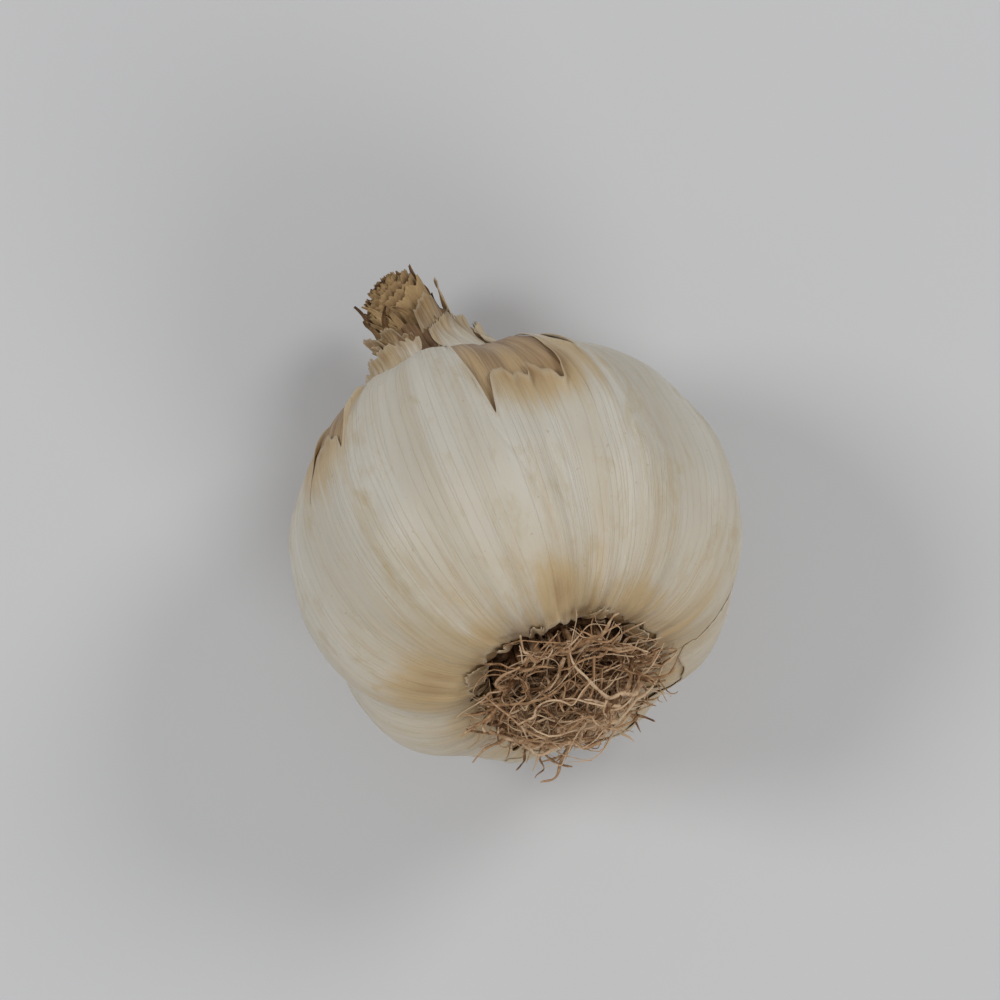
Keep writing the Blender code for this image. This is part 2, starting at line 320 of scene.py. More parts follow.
def bulb_origin():
    """Where the bulb's root end lies in the part's frame."""
    angle = np.arange(CAD_AROUND)[None, :] * math.tau / CAD_AROUND
    place = np.arange(COLLAR * CAD_RINGS_PER_STEP + 1)[:, None] / CAD_RINGS_PER_STEP
    angle, place = np.broadcast_arrays(angle, place)
    radius, height = skin_radius_height(angle, place)
    laid = bend(polar(radius, angle, height)) @ LIE_DOWN.T
    low = laid.reshape(-1, 3).min(axis=0)
    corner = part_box("bulb")[0]
    return np.array([corner[0] - low[0], corner[1] - low[1], -(low[2] + REST_FLAT)])


ORIGIN = bulb_origin()


def lay(points, floor=0.0):
    """Bends, lays down and places straight points, and keeps them above the table."""
    laid = bend(points) @ LIE_DOWN.T + ORIGIN
    laid[..., 2] = np.maximum(laid[..., 2], floor)
    return laid


def lay_sheet(points, layer):
    """Lays down a thin sheet of skin, pressed flat over the layers between it and the table."""
    front = 2 * layer * PRESSED_SKIN
    half = len(points) // 2
    return lay(points, np.repeat([front, front + PRESSED_SKIN], half))


# Mesh building

def mesh_piece(name, points, faces, material, slot, replaces=(), **attributes):
    """A smooth object of the part from points, faces and named values on its points."""
    mesh = bpy.data.meshes.new(name)
    mesh.from_pydata(points.reshape(-1, 3).tolist(), [], faces)
    for key, values in attributes.items():
        vector = np.ndim(values) > 1 and np.shape(values)[-1] == 3
        kind = "FLOAT_VECTOR" if vector else "FLOAT"
        layer = mesh.attributes.new(key, kind, "POINT")
        layer.data.foreach_set("vector" if vector else "value", np.ravel(values).astype(np.float32))
    mesh.shade_smooth()
    mesh.materials.append(material)
    piece = bpy.data.objects.new(name, mesh)
    bpy.context.scene.collection.objects.link(piece)
    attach(piece, "root")
    for node in replaces:
        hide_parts(node)


def grid_faces(rows, columns, closed, start=0, flip=False):
    """Quads of a grid of points, row by row, which may close round its columns."""
    r = np.arange(rows - 1)[:, None]
    c = np.arange(columns if closed else columns - 1)[None, :]
    after = (c + 1) % columns
    corners = [r * columns + c, r * columns + after, (r + 1) * columns + after, (r + 1) * columns + c]
    quads = np.stack([np.broadcast_to(k, (rows - 1, c.size)) for k in corners], axis=-1).reshape(-1, 4)
    return ((quads[:, ::-1] if flip else quads) + start).tolist()


def rounded_body(rings, first_pole, last_pole):
    """Points and faces of a closed body through rings, an array of rings by points."""
    rows, columns = rings.shape[:2]
    points = np.concatenate([rings.reshape(-1, 3), [first_pole, last_pole]])
    faces = grid_faces(rows, columns, True)
    first, last, top = rows * columns, rows * columns + 1, (rows - 1) * columns
    for k in range(columns):
        after = (k + 1) % columns
        faces.append((first, after, k))
        faces.append((last, top + k, top + after))
    return points, faces


def thin_sheet(grid, thickness, closed=False):
    """Points and faces of a closed thin sheet round a grid of points."""
    rows, columns = grid.shape[:2]
    if closed:
        wide = np.concatenate([grid[:, -1:], grid, grid[:, :1]], axis=1)
        across = np.gradient(wide, axis=1)[:, 1:-1]
    else:
        across = np.gradient(grid, axis=1)
    normal = np.cross(across, np.gradient(grid, axis=0))
    normal /= np.maximum(np.linalg.norm(normal, axis=-1, keepdims=True), 1e-12)
    half = normal * thickness / 2
    points = np.concatenate([(grid + half).reshape(-1, 3), (grid - half).reshape(-1, 3)])
    back = rows * columns
    faces = grid_faces(rows, columns, closed) + grid_faces(rows, columns, closed, back, True)
    if closed:
        borders = [list(range(columns)), list(range(back - 1, back - columns - 1, -1))]
    else:
        outline = list(range(columns))
        outline += [r * columns + columns - 1 for r in range(1, rows)]
        outline += [back - 1 - c for c in range(1, columns)]
        outline += [r * columns for r in range(rows - 2, 0, -1)]
        borders = [outline]
    for border in borders:
        for a, b in zip(border, border[1:] + border[:1]):
            faces.append((b, a, a + back, b + back))
    return points, faces


def merged(parts):
    """Joins a list of (points, faces, values on points) into one mesh, keeping each closed."""
    points, faces, values, start = [], [], [], 0
    for p, f, v in parts:
        p = p.reshape(-1, 3)
        points.append(p)
        faces.extend([tuple(k + start for k in face) for face in f])
        values.append(v)
        start += len(p)
    joined = {key: np.concatenate([v[key] for v in values]) for key in values[0]}
    return np.concatenate(points), faces, joined


# Materials

class Nodes:
    """Short calls that add shader nodes to a material."""

    def __init__(self, name):
        self.material = bpy.data.materials.new(name)
        self.material.use_nodes = True
        self.tree = self.material.node_tree
        self.shader = self.tree.nodes["Principled BSDF"]

    def feed(self, socket, value):
        if isinstance(value, bpy.types.NodeSocket):
            self.tree.links.new(value, socket)
        elif isinstance(value, tuple) and len(value) == 3 and socket.type == "RGBA":
            socket.default_value = (*value, 1)
        else:
            socket.default_value = value

    def attribute(self, name):
        node = self.tree.nodes.new("ShaderNodeAttribute")
        node.attribute_name = name
        return node

    def object_place(self):
        return self.tree.nodes.new("ShaderNodeTexCoord").outputs["Object"]

    def scaled(self, vector, scale):
        node = self.tree.nodes.new("ShaderNodeVectorMath")
        node.operation = "MULTIPLY"
        self.feed(node.inputs[0], vector)
        node.inputs[1].default_value = scale
        return node.outputs[0]

    def noise(self, vector, scale, detail, roughness, distortion=0.0):
        node = self.tree.nodes.new("ShaderNodeTexNoise")
        self.feed(node.inputs["Vector"], vector)
        node.inputs["Scale"].default_value = scale
        node.inputs["Detail"].default_value = detail
        node.inputs["Roughness"].default_value = roughness
        node.inputs["Distortion"].default_value = distortion
        return node.outputs["Fac"]

    def math(self, operation, a, b=0.0):
        node = self.tree.nodes.new("ShaderNodeMath")
        node.operation = operation
        self.feed(node.inputs[0], a)
        self.feed(node.inputs[1], b)
        return node.outputs[0]

    def span(self, value, low, high, to_low=0.0, to_high=1.0):
        node = self.tree.nodes.new("ShaderNodeMapRange")
        node.interpolation_type = "SMOOTHSTEP"
        self.feed(node.inputs["Value"], value)
        for key, number in (("From Min", low), ("From Max", high), ("To Min", to_low), ("To Max", to_high)):
            node.inputs[key].default_value = number
        return node.outputs["Result"]

    def mix(self, share, a, b):
        """A mix of two colours, which the node keeps in sockets 6 and 7, with its result in 2."""
        node = self.tree.nodes.new("ShaderNodeMix")
        node.data_type = "RGBA"
        self.feed(node.inputs[0], share)
        self.feed(node.inputs[6], a)
        self.feed(node.inputs[7], b)
        return node.outputs[2]

    def product(self, a, b):
        return self.math("MULTIPLY", a, b)

    def sum(self, a, b):
        return self.math("ADD", a, b)

    def centred(self, value, middle=0.5):
        return self.math("SUBTRACT", value, middle)

    def part(self, vector, axis):
        node = self.tree.nodes.new("ShaderNodeSeparateXYZ")
        self.feed(node.inputs[0], vector)
        return node.outputs[axis]

    def bump(self, height, strength, distance):
        node = self.tree.nodes.new("ShaderNodeBump")
        node.inputs["Strength"].default_value = strength
        node.inputs["Distance"].default_value = distance
        self.feed(node.inputs["Height"], height)
        return node.outputs["Normal"]

    def surface(self, colour, roughness, normal, fixed):
        self.feed(self.shader.inputs["Base Color"], colour)
        self.feed(self.shader.inputs["Roughness"], roughness)
        self.feed(self.shader.inputs["Normal"], normal)
        for key, value in fixed.items():
            self.feed(self.shader.inputs[key], value)
        return self.material


WHITE = (0.68, 0.63, 0.54)
CREAM = (0.60, 0.535, 0.43)
SAND = (0.56, 0.46, 0.32)
BUFF = (0.52, 0.42, 0.28)
STRAW = (0.50, 0.378, 0.205)
HONEY = (0.54, 0.375, 0.185)
TAN = (0.36, 0.215, 0.092)
BROWN = (0.175, 0.09, 0.04)
DARK = (0.045, 0.022, 0.011)
ROOT_DARK = (0.13, 0.06, 0.024)
ROOT_BROWN = (0.41, 0.24, 0.124)
ROOT_PALE = (0.64, 0.46, 0.295)
CORK = (0.30, 0.19, 0.11)


def skin_material(name, body, edge, brown_from, brown_to, base_from, base_to, blotches):
    """Dry papery skin: veins along the bulb, stains, and honey to brown towards both ends."""
    n = Nodes(name)
    at = n.attribute("skin_at").outputs["Vector"]
    place = n.part(at, 2)
    bands = n.noise(n.scaled(at, (4, 4, 0.12)), 1, 3, 0.55)
    streaks = n.noise(n.scaled(at, (15, 15, 0.16)), 1, 4, 0.6)
    lines = n.noise(n.scaled(at, (30, 30, 0.14)), 1, 1.5, 0.5)
    vein = n.span(n.math("ABSOLUTE", n.centred(lines)), 0.0, 0.045, 1, 0)
    wide = n.noise(n.scaled(at, (2.3, 2.3, 0.26)), 1, 5, 0.62, 0.5)
    narrow = n.noise(n.scaled(at, (4.1, 4.1, 0.45)), 1, 5, 0.62, 0.5)
    blotch = n.product(n.sum(wide, narrow), 0.5)
    mottle = n.noise(n.scaled(at, (9, 9, 1.1)), 1, 5, 0.66, 0.6)
    crinkle = n.noise(n.scaled(at, (60, 60, 4)), 1, 3, 0.6)
    fleck = n.noise(n.object_place(), 1300, 2, 0.5)
    # Bands and streaks
    colour = n.mix(n.span(bands, 0.35, 0.66), body, WHITE)
    colour = n.mix(n.span(streaks, 0.46, 0.76, 0, 0.18), colour, STRAW)
    # Stains, more of them towards both ends, with spots, flecks and veins
    ends = n.product(n.math("ABSOLUTE", n.centred(place, 6.5)), 0.03)
    stain = n.sum(n.sum(blotch, ends), n.product(n.centred(bands), 0.3))
    colour = n.mix(n.span(stain, blotches - 0.04, blotches + 0.2, 0, 0.62), colour, STRAW)
    spots = n.sum(mottle, n.product(n.centred(stain), 0.5))
    colour = n.mix(n.span(spots, 0.54, 0.74, 0, 0.45), colour, STRAW)
    colour = n.mix(n.span(fleck, 0.71, 0.76, 0, 0.35), colour, TAN)
    colour = n.mix(n.product(vein, 0.085), colour, TAN)
    # Tan and brown towards the neck
    uneven = n.product(n.centred(n.sum(streaks, blotch), 1.0), 2.8)
    near = n.sum(place, uneven)
    dry = n.span(near, brown_from, brown_to, 0, 0.9)
    colour = n.mix(dry, colour, TAN)
    colour = n.mix(n.product(dry, n.span(bands, 0.42, 0.58, 0.1, 0.75)), colour, HONEY)
    colour = n.mix(n.product(dry, n.span(streaks, 0.44, 0.62, 0, 0.5)), colour, BROWN)
    colour = n.mix(n.product(dry, n.product(vein, 0.35)), colour, BROWN)
    colour = n.mix(n.span(near, brown_to, brown_to + 2.5, 0, 0.75), colour, BROWN)
    # Patches of honey round the root plate, then brown streaks where the skin gathers, partly painted shade
    # of its folds, and the brown rim
    rim = n.sum(place, n.product(uneven, 2.4))
    ring = n.span(rim, base_to + 0.6, base_from + 3.0, 0.9, 0)
    colour = n.mix(n.product(ring, n.span(wide, 0.4, 0.6, 0.35, 1)), colour, HONEY)
    # Brown streaks by the plate: the skin's own brown, and painted shade in its folds
    gathered = n.span(near, base_to, base_from + 1.0, 1, 0)
    colour = n.mix(n.product(gathered, n.span(streaks, 0.45, 0.6, 0, 0.6)), colour, BROWN)
    colour = n.mix(n.span(near, base_to, base_from, 0.8, 0), colour, TAN)
    colour = n.mix(n.span(near, base_to - 1.2, base_to, 0.8, 0), colour, BROWN)
    # Dry patches, on the upper shoulder by the neck also painted shade, and torn edges
    # The stain attribute carries dry skin, and painted shade on the upper shoulder by the neck
    dry_and_shade = n.sum(n.attribute("stain").outputs["Fac"], n.product(uneven, 0.28))
    colour = n.mix(n.span(dry_and_shade, 0.15, 0.6, 0, 0.85), colour, HONEY)
    colour = n.mix(n.span(dry_and_shade, 0.5, 1.0, 0, 0.85), colour, TAN)
    colour = n.mix(n.span(n.attribute("torn").outputs["Fac"], 0.5, 1.0, 0, 0.5), colour, edge)
    height = n.sum(n.product(vein, 0.30), n.product(streaks, 0.8))
    height = n.sum(height, n.product(crinkle, 0.35))
    height = n.sum(height, n.product(mottle, 0.30))
    roughness = n.span(n.sum(streaks, mottle), 0.7, 1.3, 0.42, 0.62)
    return n.surface(
        colour, roughness, n.bump(height, 0.5, 0.35 * MM),
        {"Subsurface Weight": 0.12, "Subsurface Radius": (1.0, 0.6, 0.35), "Subsurface Scale": 1.5 * MM,
         "Sheen Weight": 0.08, "Sheen Roughness": 0.5, "Specular IOR Level": 0.45},
    )


def sheath_material():
    """Dry leaf sheath: fibres along it, tan outside, and darker deep inside the roll and on its inner face,
    which is painted shade.
    """
    n = Nodes("rolled_sheath")
    at = n.attribute("skin_at").outputs["Vector"]
    tone = n.attribute("tone").outputs["Fac"]
    fibres = n.noise(n.scaled(at, (16, 16, 0.8)), 1, 4, 0.65)
    patches = n.noise(n.object_place(), 500, 4, 0.6)
    mixed = n.sum(n.product(fibres, 0.6), n.product(patches, 0.4))
    colour = n.mix(n.span(mixed, 0.32, 0.62), TAN, HONEY)
    # The tone brings painted shade, darker deep in the roll and on each sheet's inner face, beside each
    # sheath's own tone
    colour = n.mix(n.span(n.sum(tone, n.centred(mixed)), 0.25, 0.9), colour, BROWN)
    colour = n.mix(n.span(n.sum(tone, n.centred(patches)), 0.75, 1.3), colour, DARK)
    height = n.sum(fibres, n.product(patches, 0.5))
    return n.surface(colour, n.span(mixed, 0.3, 0.7, 0.6, 0.85), n.bump(height, 0.6, 0.3 * MM),
                     {"Specular IOR Level": 0.3})


def root_material():
    """Dried root: each has its own brown, paler where its bark has worn off; its tone also holds painted
    shade deep in the tuft and at its foot.
    """
    n = Nodes("dried_roots")
    tone = n.attribute("tone").outputs["Fac"]
    spot = n.object_place()
    patches = n.noise(spot, 900, 4, 0.6)
    bark = n.noise(spot, 2600, 3, 0.6)
    worn = n.sum(n.product(n.centred(patches), 1.3), n.product(n.centred(bark), 0.8))
    share = n.sum(tone, worn)
    colour = n.mix(n.span(share, 0.0, 0.45), ROOT_DARK, ROOT_BROWN)
    colour = n.mix(n.span(share, 0.45, 0.9), colour, ROOT_PALE)
    height = n.sum(n.product(patches, 0.6), n.product(bark, 0.5))
    return n.surface(colour, n.span(patches, 0.3, 0.7, 0.7, 0.92), n.bump(height, 0.7, 0.15 * MM),
                     {"Specular IOR Level": 0.25})


def plate_material():
    """Corky root plate: cracked brown with darker pits."""
    n = Nodes("cork_plate")
    spot = n.object_place()
    lumps = n.noise(spot, 600, 5, 0.65)
    pits = n.noise(spot, 1800, 3, 0.6)
    colour = n.mix(n.span(lumps, 0.35, 0.65), DARK, BROWN)
    colour = n.mix(n.span(pits, 0.5, 0.75, 0, 0.7), colour, CORK)
    height = n.sum(lumps, n.product(pits, 0.4))
    return n.surface(colour, 0.9, n.bump(height, 0.9, 0.4 * MM), {"Specular IOR Level": 0.2})


# The bulb's skin

def around(count):
    return np.arange(count) * math.tau / count


def crowded(count, places):
    """Angles round the bulb that stand closer together near some places."""
    width = 0.07
    fine = around(4000)
    off = [2 * np.sin((fine - place) / 2) for place in places]
    closeness = 1 + sum(3.5 * np.exp(-((chord / width) ** 2)) for chord in off)
    total = np.concatenate([[0], np.cumsum(closeness)])
    return np.interp(np.arange(count) / count * total[-1], total, np.append(fine, math.tau))


def teeth(angle, seed, counts, sizes):
    """A torn outline round the bulb: pointed tongues of several widths, from -1 to 1 or so."""
    draw = np.random.default_rng(seed)
    total = np.zeros(np.shape(angle))
    for count, size in zip(counts, sizes):
        shift = draw.uniform(0, 1)
        turn = (angle / math.tau * count + shift + 0.25 * np.sin(3 * angle + 7 * shift)) % 1
        heights = draw.uniform(0.3, 1.0, count + 2)
        which = np.floor(angle / math.tau * count + shift).astype(int) % (count + 2)
        total += size * heights[which] * (1 - 4 * np.abs(turn - 0.5))
    return total


def skin_at(angle, place):
    """The skin's own coordinates, which its material follows: a circle round it and the place along it."""
    return stack(np.cos(angle), np.sin(angle), place).reshape(-1, 3)


def twice(values):
    """Values of a thin sheet's points, for its front and again for its back."""
    return np.concatenate([values, values])


def torn_sheet(grid, thickness, side, place, u, share):
    """A loose sheet of skin, with its material's coordinates and its worn outer edge."""
    points, faces = thin_sheet(grid, thickness)
    edge = np.maximum(np.abs(u) ** 6, (share + 0 * u) ** 5).ravel()
    return points, faces, {"skin_at": twice(skin_at(side, place)), "torn": twice(edge)}


def make_inner_skin():
    """The skin next to the cloves, with the recess for the root plate and the neck's socket."""
    columns, rows = 420, 180
    ring = around(columns)
    angle, place = np.broadcast_arrays(ring[None, :], np.linspace(0, COLLAR, rows)[:, None])
    grown = skin(angle, place)
    thinner = ramp(COLLAR - 2.2, COLLAR, place) * 0.62 * MM
    away = grown.copy()
    away[..., 2] = 0
    away /= np.linalg.norm(away, axis=-1, keepdims=True)
    grown -= away * thinner[..., None]
    ragged = 1.1 * MM * teeth(ring, 31, (5, 13, 29), (0.5, 0.35, 0.2))
    grown[..., 2] += ramp(COLLAR - 2, COLLAR, place) * ragged
    recess = [polar(RECESS_RADIUS * share, ring, RECESS_FLOOR) for share in (0.5, 1)]
    socket = [polar(SOCKET_RADIUS + 0.2 * MM, ring, grown[-1, :, 2] - 0.1 * MM)]
    socket += [polar(SOCKET_RADIUS, ring, height) for height in (50 * MM, SOCKET_FLOOR)]
    rings = np.concatenate([np.array(recess), grown, np.array(socket)])
    points, faces = rounded_body(rings, [0, 0, RECESS_FLOOR], [0, 0, SOCKET_FLOOR])
    recess_place = np.zeros((len(recess), columns))
    socket_place = np.full((len(socket), columns), COLLAR)
    places = np.concatenate([recess_place, place, socket_place])
    at = np.concatenate([skin_at(ring[None, :], places), [[1, 0, 0], [1, 0, COLLAR]]])
    material = skin_material("inner_skin", BUFF, STRAW, brown_from=4.4, brown_to=7.6,
                             base_from=2.0, base_to=0.9, blotches=0.5)
    mesh_piece("inner_skin", lay(points, 4 * PRESSED_SKIN), faces, material, "papery_skin", ("bulb",),
               skin_at=at, torn=np.zeros(len(points)), stain=np.zeros(len(points)))


def tear(angle, centre, half_width, depth, sides, seed):
    """How far a ragged tear cuts into a skin's edge: a strip where sides is small, a point at 1."""
    share = np.maximum(0, 1 - np.abs(turn_from(angle, centre)) / half_width)
    ragged = 0.16 * teeth(angle, seed, (13, 37, 89), (1.0, 0.4, 0.22))
    return depth * np.minimum(1, share / sides) ** 0.75 * (1 + ragged)


def make_outer_skin(material):
    """The outer skin, torn away round the neck and round the root plate."""
    steep = [TOP_SIDE + side + way * half_width * (1 - sides / 2)
             for side, half_width, _, sides in TEARS if sides < 0.5
             for way in (-1, 1)]
    columns, rows = 530, 90
    angle = crowded(columns, steep)
    low = 1.55 + 0.55 * teeth(angle, 41, (4, 9, 23, 47), (0.6, 0.5, 0.3, 0.15))
    high = 11.7 + 0.62 * teeth(angle, 42, (3, 8, 19, 41), (0.9, 0.7, 0.4, 0.2))
    for k, (side, half_width, depth, sides) in enumerate(TEARS):
        high -= tear(angle, TOP_SIDE + side, half_width, depth, sides, 140 + k)
    share = np.linspace(0, 1, rows)[:, None]
    place = low + (high - low) * share
    angle = np.broadcast_to(angle, place.shape)
    torn = np.maximum(1 - (place - low) / 0.35, 1 - (high - place) / 0.45).clip(0, 1)
    curl = 0.5 * MM * torn**2 * (0.6 + 0.6 * field(polar(1, angle, place * 0.3), 0.35, 43)).clip(0, 1.4)
    sheet = skin(angle, place, OUTER_SKIN_OUT + curl)
    points, faces = thin_sheet(sheet, OUTER_SKIN_THICKNESS, True)
    mesh_piece("outer_skin", lay_sheet(points, 1), faces, material, "papery_skin",
               skin_at=twice(skin_at(angle, place)), torn=twice(torn.ravel()),
               stain=twice(dried_and_shaded(angle, place).ravel()))


def make_last_layer(material):
    """A last layer of skin, left on one side of the bulb and torn all round."""
    columns, rows = 190, 96
    u = np.linspace(0, 1, columns)[None, :]
    share = np.linspace(0, 1, rows)[:, None]
    first = TOP_SIDE + 1.75 + 0.09 * teeth(share * 4.1, 44, (3, 7, 19, 43), (0.9, 0.5, 0.3, 0.2))
    last = TOP_SIDE + 3.6 + 0.10 * teeth(share * 4.1, 45, (3, 9, 21, 47), (0.9, 0.5, 0.3, 0.2))
    angle = first + (last - first) * u
    low = 2.3 + 0.55 * teeth(angle, 46, (3, 8, 31), (1.0, 0.5, 0.15))
    high = 10.6 + 0.5 * teeth(angle, 47, (5, 13, 31), (0.8, 0.5, 0.3))
    place = low + (high - low) * share
    edge = np.minimum(np.minimum(u, 1 - u) / 0.06, np.minimum(share, 1 - share) / 0.05)
    torn = np.clip(1 - edge, 0, 1)
    curl = 0.24 * MM * torn**2 * (0.1 + 0.9 * field(polar(1, angle, place * 0.3), 0.35, 48)).clip(0, 1.3)
    points, faces = thin_sheet(skin(angle, place, LAST_LAYER_OUT + curl), LAST_LAYER_THICKNESS)
    mesh_piece("last_layer", lay_sheet(points, 0), faces, material, "papery_skin",
               skin_at=twice(skin_at(angle + 1, place)), torn=twice(torn.ravel()))


def flap_sheet(angle, foot, top, half_width, lift, seed, columns=60, rows=40):
    """A flap of outer skin that has torn and lifts off the shoulder, ragged at its tip."""
    sunk = 0.35 * MM
    u = np.linspace(-1, 1, columns)[None, :]
    share = np.linspace(0, 1, rows)[:, None]
    tip = 1 - 0.12 * u**2 - 0.13 * np.abs(teeth((u + 1) * 2.6, seed, (7, 15, 31), (0.7, 0.4, 0.3)))
    v = share * tip
    place = foot + (top - foot) * v
    radius, height = spline(RADII, place), spline(HEIGHTS, place)
    way_r, way_h = profile_way_out(place)
    crumple = 0.35 * MM * field(stack(u * 2, v * 2, 0 * v), 0.8, seed + 1) * v
    stand = (lift + sunk) * v**1.6 - sunk - 0.8 * MM * u**2 * v + crumple
    stand = stand + 0.7 * MM * np.abs(u) ** 4 * v
    side = angle + u * half_width * (1 - 0.35 * v + 0.05 * np.sin(9 * v + seed)) / radius
    grid = polar(radius + way_r * stand, side, height + way_h * stand)
    return torn_sheet(grid, 0.12 * MM, side, place, u, share)


def make_flaps(material):
    """The part's three large flaps, with smaller ones between them."""
    flaps = [
        flap_sheet(TOP_SIDE - 0.8, 9.4, 13.0, 5.8 * MM, 3.2 * MM, 51),
        flap_sheet(TOP_SIDE + 0.55, 10.4, 13.2, 3.4 * MM, 1.6 * MM, 52),
        flap_sheet(TOP_SIDE + 2.0, 10.2, 12.9, 3.6 * MM, 1.9 * MM, 53),
    ]
    draw = random.Random(SEED + 20)
    for k in range(SMALL_FLAPS):
        angle = math.tau * (k + draw.uniform(-0.4, 0.4)) / SMALL_FLAPS
        foot = draw.uniform(10.6, 12.0)
        flaps.append(flap_sheet(angle, foot, foot + draw.uniform(0.9, 1.6), draw.uniform(0.9, 2.0) * MM,
                                draw.uniform(0.4, 1.3) * MM, 60 + k, 32, 18))
    points, faces, values = merged(flaps)
    mesh_piece("torn_flaps", lay(points), faces, material, "papery_skin", **values)


def rim_scrap(draw, angle, seed):
    """A scrap of dry skin that lies outwards from the rim round the root plate."""
    columns, rows = 24, 18
    foot, reach = draw.uniform(0.1, 0.5), draw.uniform(0.9, 1.9)
    half_turn, lift = draw.uniform(0.07, 0.2), draw.uniform(0.2, 0.9) * MM
    slant = draw.uniform(-0.15, 0.15)
    u = np.linspace(-1, 1, columns)[None, :]
    share = np.linspace(0, 1, rows)[:, None]
    tip = 1 - 0.25 * u**2 - 0.16 * np.abs(teeth((u + 1) * 2.6, seed, (3, 7, 17), (1.0, 0.35, 0.2)))
    v = share * tip
    place = foot + reach * v
    side = angle + u * half_turn * (1 - 0.3 * v) + slant * v
    stand = 0.42 * MM * ramp(0, 0.3, v) - 0.15 * MM + lift * v**2
    stand = stand + 0.2 * MM * field(stack(u * 2, v * 2, 0 * v), 0.8, seed + 1) * v
    return torn_sheet(skin(side, place, stand), 0.1 * MM, side, 0.2 + 1.6 * v, u, share)


def make_rim_scraps(material):
    draw = random.Random(SEED + 25)
    scraps = []
    for k in range(RIM_SCRAPS):
        angle = math.tau * (k + draw.uniform(-0.45, 0.45)) / RIM_SCRAPS
        scraps.append(rim_scrap(draw, angle, 170 + k))
    points, faces, values = merged(scraps)
    mesh_piece("rim_scraps", lay(points), faces, material, "papery_skin", **values)


def strip_sheet(draw, angle, thickness, seed, shrink=1.0):
    """A torn strip of dry skin that stands on round the neck above the collar."""
    columns, rows = 40, 24
    foot = 48.2 * MM
    foot_radius = 5.15 * MM
    length = draw.uniform(4.5, 8.5) * MM * shrink
    half_turn = draw.uniform(1.9, 2.9) * MM / foot_radius * shrink
    lean = draw.uniform(0.2, 1.9) * MM
    slant = draw.uniform(-0.5, 0.5)
    u = np.linspace(-1, 1, columns)[None, :]
    share = np.linspace(0, 1, rows)[:, None]
    ragged = np.abs(teeth((u + 1) * 2.6, seed, (3, 7, 17), (1.0, 0.35, 0.2)))
    tip = 1 - 0.16 * np.abs(u + slant * share) - 0.1 * ragged
    v = share * tip
    crumple = 0.18 * MM * field(stack(u * 2, v * 3, 0 * v), 0.8, seed) * v
    radius = foot_radius - 0.5 * MM + lean * v**2 + crumple + 0.25 * MM * u**2 * v
    side = angle + u * half_turn * (1 - 0.5 * v) + 0.25 * slant * v
    return torn_sheet(polar(radius, side, foot + length * v), thickness, side, 12.2 + 2.2 * v, u, share)


def make_strips(material):
    """The part's broad strips round the neck, with narrower ones between them."""
    draw = random.Random(SEED + 2)
    turns = [math.tau * (k + draw.uniform(-0.25, 0.25)) / BROAD_STRIPS for k in range(BROAD_STRIPS)]
    sheets = [strip_sheet(draw, turn, 0.14 * MM, 80 + k) for k, turn in enumerate(turns)]
    for k in range(NARROW_STRIPS):
        angle = math.tau * (k + 0.5 + draw.uniform(-0.3, 0.3)) / NARROW_STRIPS
        sheets.append(strip_sheet(draw, angle, 0.1 * MM, 90 + k, draw.uniform(0.45, 0.8)))
    points, faces, values = merged(sheets)
    mesh_piece("collar_strips", lay(points), faces, material, "papery_skin", **values)


# The neck

def sheath_roll(inner, outer, start, turns, top, seed):
    """One dry leaf sheath rolled round the others, in folds and frayed where it was cut."""
    columns, rows = 220, 22
    share = np.linspace(0, 1, columns)[None, :]
    v = np.linspace(0, 1, rows)[:, None]
    side = start + math.tau * turns * share
    draw = np.random.default_rng(seed)
    fray = 0.8 * MM * np.abs(teeth(side, seed, (3, 7, 17, 41), (0.9, 0.5, 0.3, 0.2)))
    slope = 0.22 * outer * np.cos(side - 0.6)
    foot = SOCKET_FLOOR + 0.8 * MM
    height = foot + (top - fray + slope - foot) * v
    squash = 1 + 0.09 * np.cos(2 * side + 0.8) + 0.03 * np.cos(3 * side + 2)
    free = ramp(0.15, 0.75, v)
    folds = 0.085 * MM * along_lines(side, v * 4, (7, 11, 17, 29), seed + 1, 0.9) * free
    splay = MM * v**4 * (0.1 + 0.5 * ramp(-0.2, 1.2, along_lines(side, 0 * v, (2, 3, 5), seed + 2)))
    radius = (inner + (outer - inner) * share) * squash + folds + splay
    points, faces = thin_sheet(polar(radius, side, height), 0.15 * MM)
    # Painted shade: the inner sheaths darker and each sheet darker on its inner face; the tops paler
    # towards the cut
    deep = 1 - inner / NECK_RADIUS
    tone = 0.56 + 0.35 * deep - 0.30 * v**8 + draw.uniform(-0.15, 0.15)
    tone = np.broadcast_to(tone, (rows, columns)).ravel()
    tones = np.concatenate([tone, tone + 0.3])
    return points, faces, {"skin_at": twice(skin_at(side, 9 * v)), "tone": tones}


def splinter(draw, seed):
    """A narrow splinter of sheath that has split off the neck and leans out."""
    columns, rows = 9, 22
    u = np.linspace(-1, 1, columns)[None, :]
    v = np.linspace(0, 1, rows)[:, None]
    foot = draw.uniform(50.5, 53.5) * MM
    length = draw.uniform(2.5, 6.0) * MM
    half_width = draw.uniform(0.25, 0.95) * MM * (1 - 0.8 * v**1.5)
    lean = draw.uniform(0.1, 1.5) * MM
    angle = draw.uniform(0, math.tau)
    twist = draw.uniform(-0.5, 0.5)
    radius = NECK_RADIUS + 0.25 * MM + lean * v**2 + 0.12 * MM * u**2 + 0.12 * MM * np.sin(7 * v + seed)
    side = angle + u * half_width / NECK_RADIUS + twist * v**2
    height = foot + length * v + 0.2 * MM * np.abs(teeth(u + 1, seed, (5, 11), (0.7, 0.5))) * v
    points, faces = thin_sheet(polar(radius, side, height), 0.12 * MM)
    tone = np.broadcast_to(draw.uniform(0.0, 0.8) + 0.15 * v, (rows, columns)).ravel()
    # Painted shade: each splinter darker on its inner face
    tones = np.concatenate([tone, tone + 0.2])
    return points, faces, {"skin_at": twice(skin_at(side, 9 * v)), "tone": tones}


